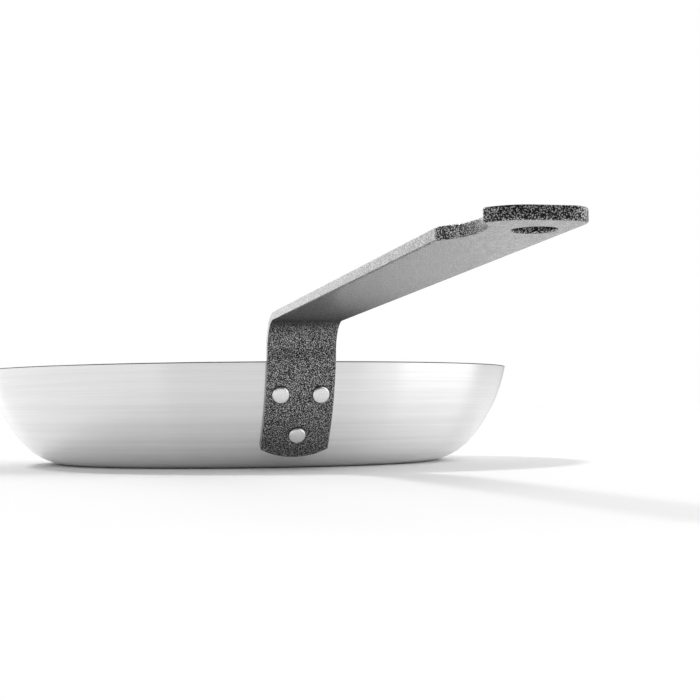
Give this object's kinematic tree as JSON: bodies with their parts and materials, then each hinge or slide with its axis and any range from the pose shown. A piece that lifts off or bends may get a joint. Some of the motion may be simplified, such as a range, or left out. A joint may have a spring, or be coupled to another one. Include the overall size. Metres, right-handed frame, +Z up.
{
  "type": "omelette pan",
  "caption": "Round omelette pan: pressed aluminium bowl with a curved flaring wall, non-stick inside, and a long flat steel strip handle held by three rivets.",
  "frame": {"origin": "on the pan's axis at the flat underside that stands on the hob", "axes": "+Z up along the pan's axis, +X along the handle, away from the bowl"},
  "size_m": [0.4638, 0.22, 0.0643],
  "materials": {
    "turned_aluminium": "satin outside, with fine lines turned round the wall; the inside has a dark non-stick coating",
    "nonstick_coating": "smooth dark non-stick coating with a low sheen",
    "hammertone_coating": "dark grey hammertone epoxy on steel strip",
    "rivet_aluminium": "bright, lightly hammered"
  },
  "bodies": {
    "root": {"pan_body": "turned_aluminium", "handle": "hammertone_coating", "rivet_upper_left": "rivet_aluminium", "rivet_upper_right": "rivet_aluminium", "rivet_lower": "rivet_aluminium"}
  },
  "joints": []
}
